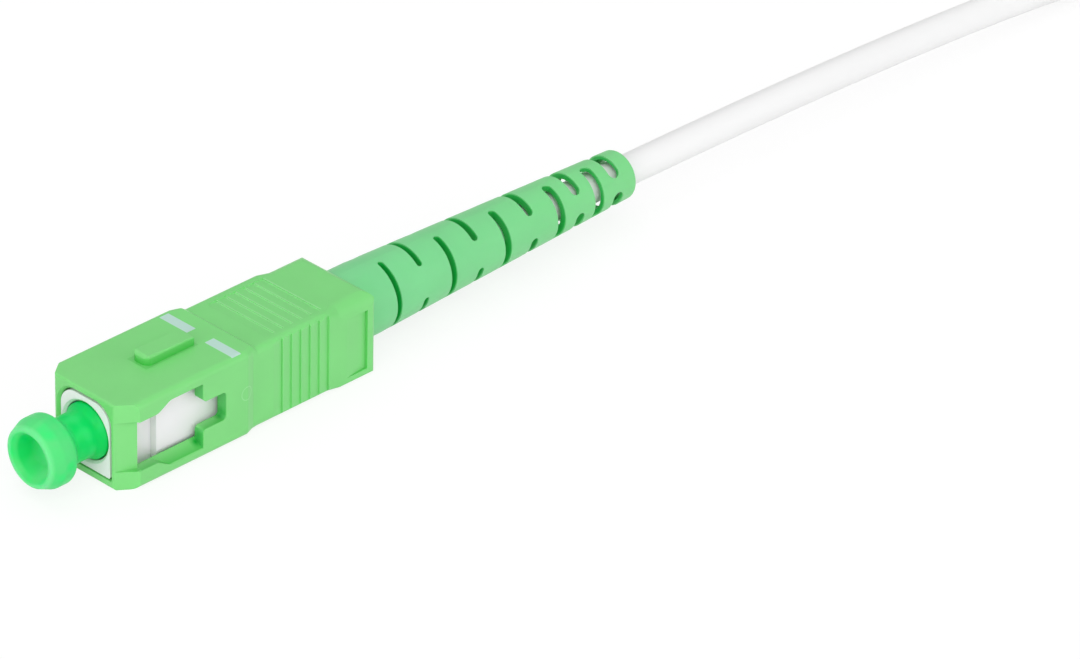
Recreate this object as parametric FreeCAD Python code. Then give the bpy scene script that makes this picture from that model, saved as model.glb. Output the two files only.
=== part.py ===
"""SC/APC fibre connector on a one-metre simplex lead.

Frame: X runs along the ferrule from the mating end towards the cable, Y across the connector,
Z up through the key. The origin is on the ferrule axis, at the front face of the plug frame.
All sizes are in millimetres.
"""

import FreeCAD
import Part
import math
import os

Vec = FreeCAD.Vector

# ---------------------------------------------------------------- grip housing
lip = 0.1                    # the housing reaches this far in front of the plug frame
housing_length = 26.3
nose_length = 13.4           # wide front section, which fills the adapter
nose_width = 9.0
nose_height = 7.4
grip_width = 8.4             # slimmer rear section, which is held between two fingers
grip_height = 7.0
grip_drop = 0.13             # the rear section lies this much lower than the front one
side_taper_x = 12.6          # the sides draw in from here to the end of the nose
step_run = 0.5               # length of the ramp down to the slim section, top and bottom
long_edge_r = 0.55
rear_edge_r = 1.15           # the block behind the ribs: rounder above, almost sharp below
rear_low_edge_r = 0.12
rear_top_r = 0.9             # its end rolls over at the top
rear_bottom_r = 0.25
lead_in_x = 1.7              # plan chamfer on the front corners
lead_in_y = 1.25
rear_corner_r = 0.45
front_edge_r = 0.2

side_wall = 1.0              # of the nose section
top_wall = 0.6
opening_bevel = 0.22         # around the front opening
lip_opening_gap = 0.1        # between the plug frame's nose and the housing's front opening
slide_gap = 0.1              # between the plug frame and the housing's inner faces
grip_travel = 2.0            # push-pull stroke that frees the adapter's hooks

bar_depth = 1.75             # the front bar of each side window, along X
bar_recess = 0.55            # how far the bar's rear edge lies under the side face
channel_half = 2.15          # half heights of the side window
window_half = 2.85
tongue_half = 1.22
window_rear = 8.0            # ends of the wide part and of the narrow tongue, from the front
tongue_rear = 10.35
flare_start = 3.4            # the edge between them swings out over this stretch
flare_end = 4.65

key_start = 5.55
key_length = 4.9
key_width = 1.9
key_top_width = 1.6
key_height = 0.8
key_rear_height = 0.68

rib_first = 16.5             # first step, from the housing's front
rib_pitch = 0.97
rib_count = 6
rib_depth = 0.13
top_rib_depth = 0.07
rib_sink = 0.04              # the crests lie this far under the rear block
top_rib_half = 3.25

scoop_rear = 25.4            # recess near the rear of each side
scoop_length = 2.2
scoop_top = 2.1              # heights of its upper and lower edges
scoop_bottom = -3.1
scoop_depth = 0.26

# ---------------------------------------------------------------- plug frame
nose_frame_width = 5.4       # the part that shows in the housing's front opening
nose_frame_height = 6.0
nose_frame_corner = 1.6      # rounded on the key side only
shoulder_x = 4.1             # where the frame widens, behind the front bar
shoulder_run = 0.15
frame_height_rear = 5.4
frame_waist_x = 11.5         # the frame steps down in height here, against the housing's step
frame_length = 19.0
frame_corner = 0.9
mating_bore_r = 2.42
mating_bore_bevel = 0.2
mating_bore_depth = 6.6
seat_wall = 0.75             # wall that the ferrule flange rests on
ferrule_pass_r = 1.6
spring_bore_r = 2.3

# ---------------------------------------------------------------- ferrule and its spring
ferrule_r = 1.25
ferrule_length = 10.5
ferrule_out = 0.6            # the tip stands this far in front of the plug frame
apc_angle = 8.0              # the end face is polished at this angle
tip_chamfer = 0.35
fibre_r = 0.0625
fibre_gap = 0.0005
flange_r = 2.15
flange_thick = 1.5
flange_slot = 0.8            # keyways that set the polish angle to the key
flange_rib = 0.6
barrel_r = 1.5
barrel_length = 4.2          # behind the flange
float_travel = 1.0           # how far the ferrule is pushed back when mated
funnel_depth = 1.2           # the ferrule's rear opening narrows to the fibre over this depth
buffer_r = 0.45
buffer_gap = 0.03
spring_wire_r = 0.2
spring_mean_r = 1.9
spring_turns = 5.0

# ---------------------------------------------------------------- rear body, crimp and boot
stop_front = 15.6            # front face of the rear body, where the spring rests
stop_gap = 0.03
collar_r = 2.75
collar_thick = 1.0
stem_r = 1.6
stem_length = 4.5
knurl_depth = 0.12
knurl_pitch = 1.1
stem_bore_r = 0.9
guide_r = 0.85
guide_wall = 0.35
lug_length = 1.6
lug_half = 0.85
lug_out = 0.55
lug_gap = 0.08
yarn_thick = 0.25
sleeve_wall = 0.3
sleeve_length = 8.0
sleeve_gap = 0.02
cable_r = 1.3
boot_gap = 0.05

boot_front = 20.35
boot_root_r = 2.7            # the front of the boot, inside the housing's flat chamber
boot_root_end = 24.9
boot_r = 3.05
boot_end_r = 2.07
boot_end = 57.15             # from the housing's front
taper_start = 28.6
boot_bore_gap = 0.2           # around the cable, at the boot's thin end
boot_thin_wall = 0.32        # where the slots are, at the thin end
boot_lip = 0.8               # the bore is narrow over this length
rear_bore_gap = 0.08
slot_first = 30.05
slot_pitch = 3.06
slot_close_pitch = 2.2       # between the last four slots
slot_wide_count = 7
slot_count = 10
slot_span = 115.0            # degrees of each of the two slots at a station
slot_turn = 17.0             # the boot sits turned by this angle about the cable
slot_width_front = 0.54
slot_width_rear = 1.16
boot_edge_r = 0.3

# ---------------------------------------------------------------- dust cap
cap_front = -5.65
bulb_r = 2.9
rim_r = 2.45
rim_round = 0.2
dish_r = 2.1
dish_floor_r = 1.0
dish_depth = 1.5
bulb_slope_end = -4.55
bulb_back = -3.42
neck_start = -2.5
neck_r = 1.92
collar_start_x = 0.1         # the part of the cap that fills the mating bore
cap_collar_r = 2.3
cap_rear = 5.4
cap_bore_gap = 0.03
cap_end_gap = 1.0            # air in front of the ferrule's tip

# ---------------------------------------------------------------- lead and its hank
floor_z = -nose_height / 2
lead_route = [(26.0, 0.0, 0.0), (63.0, 0.0, 0.15), (100.2, -0.3, -0.9), (119.2, -1.5, -2.4)]
hank_run = 46.0
hank_height = 17.3
fold_r = 8.4                 # of the tightest turns
fold_spread = 1.3            # the widest turns are this much larger
waist_flat = 8.0             # both sides lie together over this length, under the tie
waist_bend_r = 14.0
tie_thick = 0.4
tie_width = 5.0

os.makedirs("parts", exist_ok=True)


def at(plane, u, v, w):
    """A point of a plane's own coordinates u, v at distance w along its normal."""
    return {"XY": Vec(u, v, w), "XZ": Vec(u, w, v), "YZ": Vec(w, u, v)}[plane]


def outline(corners, plane, w=0.0):
    """A closed wire through corners (u, v, radius); a radius above 0 rounds that corner."""
    edges, starts, ends, arcs = [], [], [], []
    count = len(corners)
    for i, (u, v, radius) in enumerate(corners):
        here = Vec(u, v, 0)
        before = Vec(corners[i - 1][0], corners[i - 1][1], 0) - here
        after = Vec(corners[(i + 1) % count][0], corners[(i + 1) % count][1], 0) - here
        before.normalize()
        after.normalize()
        if radius <= 0:
            starts.append(here)
            ends.append(here)
            arcs.append(None)
            continue
        half = before.getAngle(after) / 2
        reach = radius / math.tan(half)
        middle = before + after
        middle.normalize()
        start, end = here + before * reach, here + after * reach
        starts.append(start)
        ends.append(end)
        arcs.append(here + middle * (radius / math.sin(half) - radius))
    for i in range(count):
        following = starts[(i + 1) % count]
        if arcs[i] is not None:
            three = [at(plane, p.x, p.y, w) for p in (starts[i], arcs[i], ends[i])]
            edges.append(Part.Arc(*three).toShape())
        if ends[i].distanceToPoint(following) > 1e-6:
            line = [at(plane, p.x, p.y, w) for p in (ends[i], following)]
            edges.append(Part.LineSegment(*line).toShape())
    return Part.Wire(edges)


def prism(corners, plane, low, high):
    """The outline extruded from low to high along the plane's normal."""
    face = Part.Face(outline(corners, plane, low))
    return face.extrude(at(plane, 0, 0, high - low))


def turned(corners):
    """A profile of corners (x, radius, rounding) turned about the X axis."""
    face = Part.Face(outline(corners, "XZ"))
    return face.revolve(Vec(0, 0, 0), Vec(1, 0, 0), 360)


def rod(radius, start, end):
    return Part.makeCylinder(radius, end - start, Vec(start, 0, 0), Vec(1, 0, 0))


def rounded_box(width, height, radius, top_radius=None, middle=0):
    """Corners of a rectangle in Y and Z, with its middle on the axis or at a given height."""
    top = radius if top_radius is None else top_radius
    y, low, high = width / 2, middle - height / 2, middle + height / 2
    return [(-y, low, radius), (y, low, radius), (y, high, top), (-y, high, top)]


def both_sides(shape):
    """The shape and its mirror image across the connector's middle plane."""
    return shape.fuse(shape.mirror(Vec(0, 0, 0), Vec(0, 1, 0)))


def keep(name, shape):
    """Write one node and print what it holds."""
    solid = shape.removeSplitter() if shape.ShapeType != "Compound" else shape
    if len(solid.Solids) == 1:
        solid = solid.Solids[0]
    solid.exportStep(f"parts/{name}.step")
    print(f"{name:22s} solids {len(solid.Solids)}  valid {solid.isValid()}  {solid.Volume:9.3f} mm3")
    return solid


# ---------------------------------------------------------------- places that pieces share
housing_front = -lip
housing_rear = housing_front + housing_length
nose_end = housing_front + nose_length
bar_end = housing_front + bar_depth
ribs_end = housing_front + rib_first + rib_pitch * (rib_count - 1)
cavity_half_y = nose_width / 2 - side_wall
cavity_half_z = nose_height / 2 - top_wall
cavity_step = frame_waist_x + slide_gap
frame_half_y = cavity_half_y - slide_gap * 3
seat_x = mating_bore_depth + seat_wall
ferrule_tip = -ferrule_out
ferrule_end = ferrule_tip + ferrule_length
flange_back = seat_x + flange_thick
barrel_end = flange_back + barrel_length
collar_start = frame_length
stem_start = collar_start + collar_thick
stem_end = stem_start + stem_length
jacket_start = lead_route[0][0]
yarn_r = stem_r + yarn_thick
sleeve_start = stem_start + 0.15
sleeve_end = sleeve_start + sleeve_length
sleeve_r = yarn_r + sleeve_gap + sleeve_wall
sleeve_small_r = cable_r + sleeve_gap + sleeve_wall
sleeve_step = jacket_start + 0.1
boot_back = housing_front + boot_end
hank_front = lead_route[-1][0]
hank_x = hank_front + hank_run / 2
hank_y = lead_route[-1][1] + fold_r
hank_r = fold_r + fold_spread + cable_r
waist_half = 2 * cable_r


def window_outline(plane="XZ", w=0.0):
    """The side window: hook channel, swung edges, wide part and narrow tongue."""
    front = bar_end
    upper = [
        (front, channel_half, 0),
        (housing_front + flare_start, channel_half, 1.1),
        (housing_front + flare_end, window_half, 0.9),
        (housing_front + window_rear, window_half, 0.15),
        (housing_front + window_rear, tongue_half, 0.35),
        (housing_front + tongue_rear, tongue_half, 0.35),
    ]
    lower = [(u, -v, r) for u, v, r in reversed(upper)]
    return upper + lower


def rib_teeth(face, depth):
    """Cutting profile of the finger ribs: ramps that sink towards the rear, then a step."""
    first = housing_front + rib_first - rib_pitch
    crest, outside = face - rib_sink, face + 1
    points = [(first, outside, 0), (first, crest, 0)]
    for tooth in range(1, rib_count + 1):
        step = first + rib_pitch * tooth
        points += [(step, crest - depth, 0), (step, crest, 0)]
    return points[:-1] + [(step, outside, 0)]


def grip_housing():
    taper, step = housing_front + side_taper_x, nose_end + step_run
    block = ribs_end + rear_edge_r
    even, uneven = (long_edge_r, long_edge_r), (rear_low_edge_r, rear_edge_r)
    sections = [(nose_width, nose_height, 0, even, housing_front),
                (nose_width, nose_height, 0, even, taper),
                (grip_width, nose_height, 0, even, nose_end),
                (grip_width, grip_height, -grip_drop, even, step),
                (grip_width, grip_height, -grip_drop, even, ribs_end),
                (grip_width, grip_height, -grip_drop, uneven, block),
                (grip_width, grip_height, -grip_drop, uneven, housing_rear)]
    rings = [outline(rounded_box(w, h, *r, middle=m), "YZ", x) for w, h, m, r, x in sections]
    stretches = [Part.makeLoft([a, b], True, True) for a, b in zip(rings, rings[1:])]
    body = stretches[0].fuse(stretches[1:])
    y, z, wide = nose_width / 2, nose_height / 2, 2 * nose_width
    grip_y, top, bottom = grip_width / 2, grip_height / 2 - grip_drop, -grip_height / 2 - grip_drop
    side = [
        (housing_front, y - lead_in_y, 0.3),
        (housing_front + lead_in_x, y, 1.2),
        (housing_front + lead_in_x + 1, wide, 0),
        (housing_rear - 2, wide, 0),
        (housing_rear - 2, grip_y, 0),
        (housing_rear, grip_y, rear_corner_r),
    ]
    plan = side + [(u, -v, r) for u, v, r in reversed(side)]
    body = body.common(prism(plan, "XY", -wide, wide))
    profile = [(housing_front, z, front_edge_r), (nose_end - 1, z, 0), (nose_end - 1, wide, 0),
               (housing_rear - 2, wide, 0), (housing_rear - 2, top, 0),
               (housing_rear, top, rear_top_r), (housing_rear, bottom, rear_bottom_r),
               (housing_rear - 2, bottom, 0), (housing_rear - 2, -wide, 0),
               (nose_end - 1, -wide, 0), (nose_end - 1, -z, 0), (housing_front, -z, front_edge_r)]
    body = body.common(prism(profile, "XZ", -wide, wide))

    # hollow inside: front opening, wide chamber, lower chamber and the round rear bore
    wide_y = nose_frame_width + 2 * lip_opening_gap
    wide_z = nose_frame_height + 2 * lip_opening_gap
    opening = rounded_box(wide_y, wide_z, 0.15, nose_frame_corner)
    bevel = opening_bevel
    flared = [(-wide_y / 2 - bevel, -wide_z / 2, 0.15), (wide_y / 2 + bevel, -wide_z / 2, 0.15),
              (wide_y / 2 + bevel, wide_z / 2 + bevel, nose_frame_corner + bevel),
              (-wide_y / 2 - bevel, wide_z / 2 + bevel, nose_frame_corner + bevel)]
    funnel = Part.makeLoft([outline(flared, "YZ", housing_front),
                            outline(opening, "YZ", housing_front + bevel)], True, True)
    chamber = rounded_box(2 * cavity_half_y, 2 * cavity_half_z, 0.3)
    rear_half_z = frame_height_rear / 2 + slide_gap
    low_chamber = rounded_box(2 * cavity_half_y, 2 * rear_half_z, 0.3)
    chamber_end = collar_start + collar_thick + grip_travel
    body = body.cut([
        funnel,
        prism(opening, "YZ", housing_front - 1, bar_end + 0.5),
        prism(chamber, "YZ", bar_end, cavity_step),
        prism(low_chamber, "YZ", cavity_step - 0.5, chamber_end),
        rod(max(boot_r, boot_root_r) + rear_bore_gap, chamber_end - 0.2, housing_rear + 1),
    ])

    # the hook channel over the slanted front bar, and the side window, which widens outwards
    slant = (lead_in_y - bar_recess) / bar_depth
    channel = prism([
        (housing_front - 1, y - lead_in_y - slant, 0),
        (bar_end, y - bar_recess, 0),
        (bar_end + 1, y - bar_recess, 0),
        (bar_end + 1, wide, 0),
        (housing_front - 1, wide, 0),
    ], "XY", -channel_half, channel_half)
    spread = (window_half - channel_half) / side_wall
    ramp = [(cavity_half_y - 0.5, channel_half, 0), (cavity_half_y, channel_half, 0),
            (wide, channel_half + spread * (wide - cavity_half_y), 0)]
    ramps = prism(ramp + [(u, -v, r) for u, v, r in reversed(ramp)], "YZ", bar_end, nose_end)
    window = prism(window_outline(), "XZ", cavity_half_y - 0.5, wide).common(ramps)
    body = body.cut([both_sides(channel), both_sides(window)])

    # finger ribs: both side faces over their full height, top and bottom between the edges
    side_ribs = prism(rib_teeth(grip_y, rib_depth), "XY", -wide, wide)
    top_ribs = prism(rib_teeth(top, top_rib_depth), "XZ", -top_rib_half, top_rib_half)
    body = body.cut([both_sides(side_ribs), top_ribs,
                     top_ribs.mirror(Vec(0, 0, -grip_drop), Vec(0, 0, 1))])

    # scoop that deepens towards the rear of each side
    scoop_back = housing_front + scoop_rear
    scoop = prism([
        (scoop_back - scoop_length, grip_y, 0),
        (scoop_back - scoop_length, grip_y + 1, 0),
        (scoop_back, grip_y + 1, 0),
        (scoop_back, grip_y - scoop_depth, 0),
    ], "XY", scoop_bottom, scoop_top)
    body = body.cut(both_sides(scoop))
    return body.fuse(key_rib())


def key_rib():
    """The polarising key: rounded nose, drafted sides, top falling towards the rear."""
    base, end = nose_height / 2, housing_front + key_start + key_length
    start = housing_front + key_start
    rise = [
        (start, base - 0.2, 0),
        (start, base + key_height, 0.45),
        (end, base + key_rear_height, 0.15),
        (end, base - 0.2, 0),
    ]
    plan = [
        (start, -key_width / 2, 0.75),
        (end, -key_width / 2, 0.2),
        (end, key_width / 2, 0.2),
        (start, key_width / 2, 0.75),
    ]
    top = base + key_height
    section = [
        (-key_width / 2, base - 0.2, 0),
        (key_width / 2, base - 0.2, 0),
        (key_top_width / 2, top, 0.2),
        (-key_top_width / 2, top, 0.2),
    ]
    key = prism(rise, "XZ", -key_width, key_width)
    key = key.common(prism(plan, "XY", base - 1, top + 1))
    return key.common(prism(section, "YZ", start - 1, end + 1))


def plug_frame():
    nose = rounded_box(nose_frame_width, nose_frame_height, 0.15, nose_frame_corner)
    body_front = rounded_box(2 * frame_half_y, nose_frame_height, frame_corner)
    body_rear = rounded_box(2 * frame_half_y, frame_height_rear, frame_corner)
    ramp = Part.makeLoft([
        outline(rounded_box(nose_frame_width, nose_frame_height, frame_corner), "YZ", shoulder_x),
        outline(body_front, "YZ", shoulder_x + shoulder_run),
    ], True, True)
    body = prism(nose, "YZ", 0, shoulder_x).fuse([
        ramp,
        prism(body_front, "YZ", shoulder_x + shoulder_run, frame_waist_x),
        prism(body_rear, "YZ", frame_waist_x, frame_length),
    ])
    body = body.cut([
        rod(mating_bore_r, -1, mating_bore_depth),
        Part.makeCone(mating_bore_r + mating_bore_bevel, mating_bore_r, mating_bore_bevel,
                      Vec(0, 0, 0), Vec(1, 0, 0)),
        rod(ferrule_pass_r, 0, frame_length),
        rod(spring_bore_r, seat_x, frame_length + 1),
    ])
    # windows that the rear body's lugs snap into
    lug_start = stop_front + lug_gap * 10
    hole = Part.makeBox(lug_length + 2 * lug_gap, frame_half_y, 2 * (lug_half + lug_gap),
                        Vec(lug_start - lug_gap, stem_r, -lug_half - lug_gap))
    body = body.cut(both_sides(hole))
    # two ribs in the bore that enter the flange's keyways
    rib_reach = flange_thick - 0.1
    rib = Part.makeBox(rib_reach, flange_rib, spring_bore_r - flange_keyway_floor() - lug_gap,
                       Vec(seat_x, -flange_rib / 2, flange_keyway_floor() + lug_gap))
    rib = rib.common(rod(spring_bore_r + 0.1, seat_x - 1, barrel_end))
    return body.fuse([rib, rib.mirror(Vec(0, 0, 0), Vec(0, 0, 1))])


def flange_keyway_floor():
    return barrel_r + 0.15


def ferrule():
    body = turned([
        (ferrule_tip - 1, 0, 0),
        (ferrule_tip - 1, ferrule_r - tip_chamfer - 0.3, 0),
        (ferrule_tip, ferrule_r - tip_chamfer, 0),
        (ferrule_tip + 0.9, ferrule_r, 0),
        (ferrule_end - 0.15, ferrule_r, 0),
        (ferrule_end, ferrule_r - 0.15, 0),
        (ferrule_end, buffer_r + buffer_gap, 0),
        (ferrule_end - funnel_depth, fibre_r + fibre_gap, 0),
        (ferrule_end - funnel_depth, 0, 0),
    ])
    polish = Part.makeBox(4, 4, 4, Vec(-4, -2, -2))
    polish.rotate(Vec(0, 0, 0), Vec(0, 1, 0), apc_angle)
    polish.translate(Vec(ferrule_tip, 0, 0))
    bore = rod(fibre_r + fibre_gap, ferrule_tip - 2, ferrule_end)
    return body.cut([polish, bore])


def fibre():
    """The bare glass from the polished tip to the front of its buffer."""
    body = rod(fibre_r, ferrule_tip - 1, ferrule_end + 0.02)
    polish = Part.makeBox(4, 4, 4, Vec(-4, -2, -2))
    polish.rotate(Vec(0, 0, 0), Vec(0, 1, 0), apc_angle)
    polish.translate(Vec(ferrule_tip, 0, 0))
    return body.cut(polish)


def ferrule_flange():
    cup_r, bore_r = ferrule_r + 0.01, buffer_r + buffer_gap
    body = turned([
        (seat_x + 0.02, cup_r, 0),
        (seat_x + 0.02, flange_r, 0),
        (flange_back, flange_r, 0),
        (flange_back, barrel_r, 0),
        (barrel_end - 0.2, barrel_r, 0),
        (barrel_end, barrel_r - 0.2, 0),
        (barrel_end, bore_r, 0),
        (ferrule_end + 0.01, bore_r, 0),
        (ferrule_end + 0.01, cup_r, 0),
    ])
    slot = Part.makeBox(flange_thick + 1, flange_slot, flange_r,
                        Vec(seat_x - 0.5, -flange_slot / 2, flange_keyway_floor()))
    slots = [slot.copy() for _ in range(4)]
    for quarter, cutter in enumerate(slots):
        cutter.rotate(Vec(0, 0, 0), Vec(1, 0, 0), 90 * quarter)
    return body.cut(slots)


def coil_spring(start, end):
    """A compression spring between two faces; its wire is six-sided to keep the mesh small."""
    rise = end - start - 2 * spring_wire_r
    helix = Part.makeHelix(rise / spring_turns, rise, spring_mean_r)
    angles = [math.radians(60 * k) for k in range(7)]
    section = Part.makePolygon([
        Vec(spring_mean_r + spring_wire_r * math.cos(a), 0, spring_wire_r * math.sin(a))
        for a in angles
    ])
    wire = Part.Wire(helix).makePipeShell([section], True, True)
    wire.rotate(Vec(0, 0, 0), Vec(0, 1, 0), 90)
    wire.translate(Vec(start + spring_wire_r, 0, 0))
    return wire


def rear_body():
    """Turned metal body: spring seat, snap lugs, collar and the knurled crimp stem."""
    barrel = spring_bore_r - stop_gap
    profile = [
        (stop_front, stem_bore_r, 0),
        (stop_front, barrel, 0),
        (collar_start, barrel, 0),
        (collar_start, collar_r, 0),
        (stem_start, collar_r, 0),
        (stem_start, stem_r, 0),
    ]
    ring = stem_start + knurl_pitch
    while ring < stem_end - knurl_pitch:
        profile += [(ring, stem_r, 0), (ring + 0.2, stem_r - knurl_depth, 0),
                    (ring + 0.4, stem_r, 0)]
        ring += knurl_pitch
    profile += [(stem_end, stem_r, 0), (stem_end, stem_bore_r, 0)]
    lug_start = stop_front + lug_gap * 10
    lug = prism([
        (lug_start, barrel - 0.3, 0),
        (lug_start, barrel, 0),
        (lug_start + lug_length, barrel + lug_out, 0),
        (lug_start + lug_length, barrel - 0.3, 0),
    ], "XY", -lug_half, lug_half)
    return turned(profile).fuse(both_sides(lug))


def guide_tube():
    end = jacket_start
    inner = guide_r - guide_wall
    return turned([(barrel_end + 0.1 + float_travel, inner, 0),
                   (barrel_end + 0.1 + float_travel, guide_r, 0),
                   (end - 0.6, guide_r, 0), (end - 0.6, inner, 0)])


def aramid_yarn():
    """The strength yarns, fanned out over the stem and turned in to the jacket's end."""
    start, end = stem_start + 0.3, jacket_start
    return turned([
        (start, stem_r, 0), (start, yarn_r, 0), (end, yarn_r, 0), (end, buffer_r + 0.35, 0),
        (end - 0.45, buffer_r + 0.35, 0), (stem_end + 0.25, stem_r - 0.3, 0),
        (stem_end, stem_r, 0),
    ])


def crimp_sleeve():
    big, small = yarn_r + sleeve_gap, cable_r + sleeve_gap
    return turned([
        (sleeve_start, big, 0), (sleeve_start, sleeve_r, 0),
        (sleeve_step, sleeve_r, 0), (sleeve_step + 0.6, sleeve_small_r, 0),
        (sleeve_end, sleeve_small_r, 0), (sleeve_end, small, 0),
        (sleeve_step + 0.45, small, 0), (sleeve_step - 0.05, big, 0),
    ])


def slot_stations():
    """Distance of each slot from the housing's front, and its width there."""
    place, found = slot_first, []
    for index in range(slot_count):
        share = index / (slot_count - 1)
        width = slot_width_front + (slot_width_rear - slot_width_front) * share ** 1.3
        found.append((housing_front + place, width))
        place += slot_pitch if index + 1 < slot_wide_count else slot_close_pitch
    return found


def strain_relief_boot():
    cavity_r, tail_r = sleeve_r + boot_gap, sleeve_small_r + boot_gap
    end_bore_r = cable_r + boot_bore_gap
    bore_r = max(end_bore_r, boot_end_r - boot_thin_wall)
    edge_r = min(boot_edge_r, 0.6 * (boot_end_r - end_bore_r))
    lip_r = min(0.1, 0.2 * (boot_end_r - end_bore_r))
    step = sleeve_step + 0.3
    body = turned([
        (boot_front, cavity_r, 0), (boot_front, boot_root_r, 0),
        (boot_root_end, boot_root_r, 0), (boot_root_end, boot_r, 0), (taper_start, boot_r, 0),
        (boot_back, boot_end_r, edge_r), (boot_back, end_bore_r, lip_r),
        (boot_back - boot_lip, end_bore_r, 0), (boot_back - boot_lip - 0.3, bore_r, 0),
        (sleeve_end + 0.1, bore_r, 0), (sleeve_end + 0.1, tail_r, 0), (step + 0.5, tail_r, 0),
        (step, cavity_r, 0),
    ])
    cutters = []
    for index, (place, width) in enumerate(slot_stations()):
        for side in (0, 180):
            cutters.append(slot_cutter(place, width, side + 90 * (index % 2)))
    return body.cut(cutters)


def slot_cutter(place, width, turn):
    """One slot: a sector of a thin disc about the cable, with round ends."""
    reach = boot_r + 1
    cutter = Part.makeCylinder(reach, width, Vec(place - width / 2, 0, 0), Vec(1, 0, 0), slot_span)
    for angle in (0, slot_span):
        end = Part.makeCylinder(width / 2, reach, Vec(place, 0, 0), Vec(0, 0, 1))
        end.rotate(Vec(0, 0, 0), Vec(1, 0, 0), angle)
        cutter = cutter.fuse(end)
    # the sector starts at +Z and opens towards -Y
    middle = 180 - slot_turn + turn
    cutter.rotate(Vec(0, 0, 0), Vec(1, 0, 0), middle - 90 - slot_span / 2)
    return cutter


def dust_cap():
    bore_r = ferrule_r + cap_bore_gap
    blind = ferrule_tip - cap_end_gap
    dish_low = cap_front + dish_depth
    profile = [
        (dish_low, 0, 0),
        (dish_low, dish_floor_r, 0.7),
        (cap_front, dish_r, 0.15),
        (cap_front, rim_r, rim_round),
        (bulb_slope_end, bulb_r, 0.6),
        (bulb_back, bulb_r, 0.5),
        (neck_start, neck_r, 0.5),
        (collar_start_x - 0.6, neck_r, 0.4),
        (collar_start_x, cap_collar_r, 0.1),
        (cap_rear, cap_collar_r, 0),
        (cap_rear, bore_r + 0.25, 0),
        (cap_rear - 0.25, bore_r, 0),
        (blind, bore_r, 0),
        (blind - 0.3, 0, 0),
    ]
    return turned(profile)


def lead():
    """Straight runs joined by tangent arcs, as large as the runs allow."""
    points = [Vec(*p) for p in lead_route]
    edges, here, length = [], points[0], 0.0
    for before, corner, after in zip(points, points[1:], points[2:]):
        inward, outward = corner - before, after - corner
        shorter = min(inward.Length, outward.Length)
        half = inward.getAngle(outward) / 2
        radius = 0.45 * shorter / math.tan(half)
        inward.normalize()
        outward.normalize()
        start, end = corner - inward * 0.45 * shorter, corner + outward * 0.45 * shorter
        bisector = outward - inward
        bisector.normalize()
        middle = corner + bisector * (radius / math.cos(half) - radius)
        edges.append(Part.LineSegment(here, start).toShape())
        edges.append(Part.Arc(start, middle, end).toShape())
        length += here.distanceToPoint(start) + 2 * half * radius
        here = end
        print(f"lead arc radius {radius:.0f} mm, turn {math.degrees(2 * half):.1f} degrees")
    edges.append(Part.LineSegment(here, points[-1]).toShape())
    length += here.distanceToPoint(points[-1])
    section = Part.Wire(Part.makeCircle(cable_r, points[0], points[1] - points[0]))
    tube = Part.Wire(edges).makePipeShell([section], True, False)
    print(f"lead volume {tube.Volume:.2f}, section times length {math.pi * cable_r ** 2 * length:.2f}")
    return tube


def hank_outline():
    """Half-round folds at both ends, drawn in to the waist under the tie."""
    fold = hank_r * 0.99
    corners = []
    for way in (-1, 1):
        end, bend = hank_x + way * (hank_run / 2 + hank_r), hank_x + way * (hank_run / 2 - 2)
        waist = hank_x + way * waist_flat / 2
        corners += [
            (waist, hank_y + way * waist_half, waist_bend_r),
            (bend, hank_y + way * hank_r, waist_bend_r / 2),
            (end, hank_y + way * hank_r, fold),
            (end, hank_y - way * hank_r, fold),
            (bend, hank_y - way * hank_r, waist_bend_r / 2),
            (waist, hank_y - way * waist_half, waist_bend_r),
        ]
    return corners


def fold_hole(side):
    """The open loop inside one end of the hank: round, and drawn to a point by the tie."""
    radius = fold_r - cable_r
    reach = hank_run / 2 - waist_flat / 2 - 3
    slope = math.asin(radius / reach)
    corner = radius / math.tan((math.pi / 2 - slope) / 2)
    end, tip = hank_x + side * (hank_run / 2 + radius), hank_x + side * (waist_flat / 2 + 3)
    fold = radius * 0.99
    return [(end, hank_y - corner, fold), (end, hank_y + corner, fold), (tip, hank_y, 0.8)]


def cable_hank():
    top = floor_z + hank_height
    body = prism(hank_outline(), "XY", floor_z, top)
    holes = [prism(fold_hole(side), "XY", floor_z - 1, top + 1) for side in (-1, 1)]
    # the lead comes in beside the lowest turn, which starts where the lead ends
    lead_y, lead_z = lead_route[-1][1:]
    room = cable_r + 0.5
    entry = Part.makeBox(2 * hank_r, 2 * hank_r, hank_height,
                         Vec(hank_front - 2 * hank_r, lead_y + room - 2 * hank_r,
                             lead_z + room - hank_height))
    # seat of the tie: the turns are drawn in by its thickness all round
    start = hank_x - tie_width / 2
    band = Part.makeBox(tie_width, 4 * hank_r, 3 * hank_height,
                        Vec(start, hank_y - 2 * hank_r, floor_z - hank_height))
    return body.cut(holes + [entry, band.cut(tie_space(start, tie_width, 0))])


def tie_space(start, width, grow):
    """The space inside the tie's loop; grow makes it the space inside its outer face."""
    half = waist_half - tie_thick + grow
    low, high = floor_z + tie_thick - grow, floor_z + hank_height - tie_thick + grow
    corners = [(hank_y - half, low, 1.2), (hank_y + half, low, 1.2),
               (hank_y + half, high, 1.2), (hank_y - half, high, 1.2)]
    return prism(corners, "YZ", start, start + width)


def hank_tie():
    start = hank_x - tie_width / 2
    loop = tie_space(start, tie_width, tie_thick)
    return loop.cut(tie_space(start - 1, tie_width + 2, 0))


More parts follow.
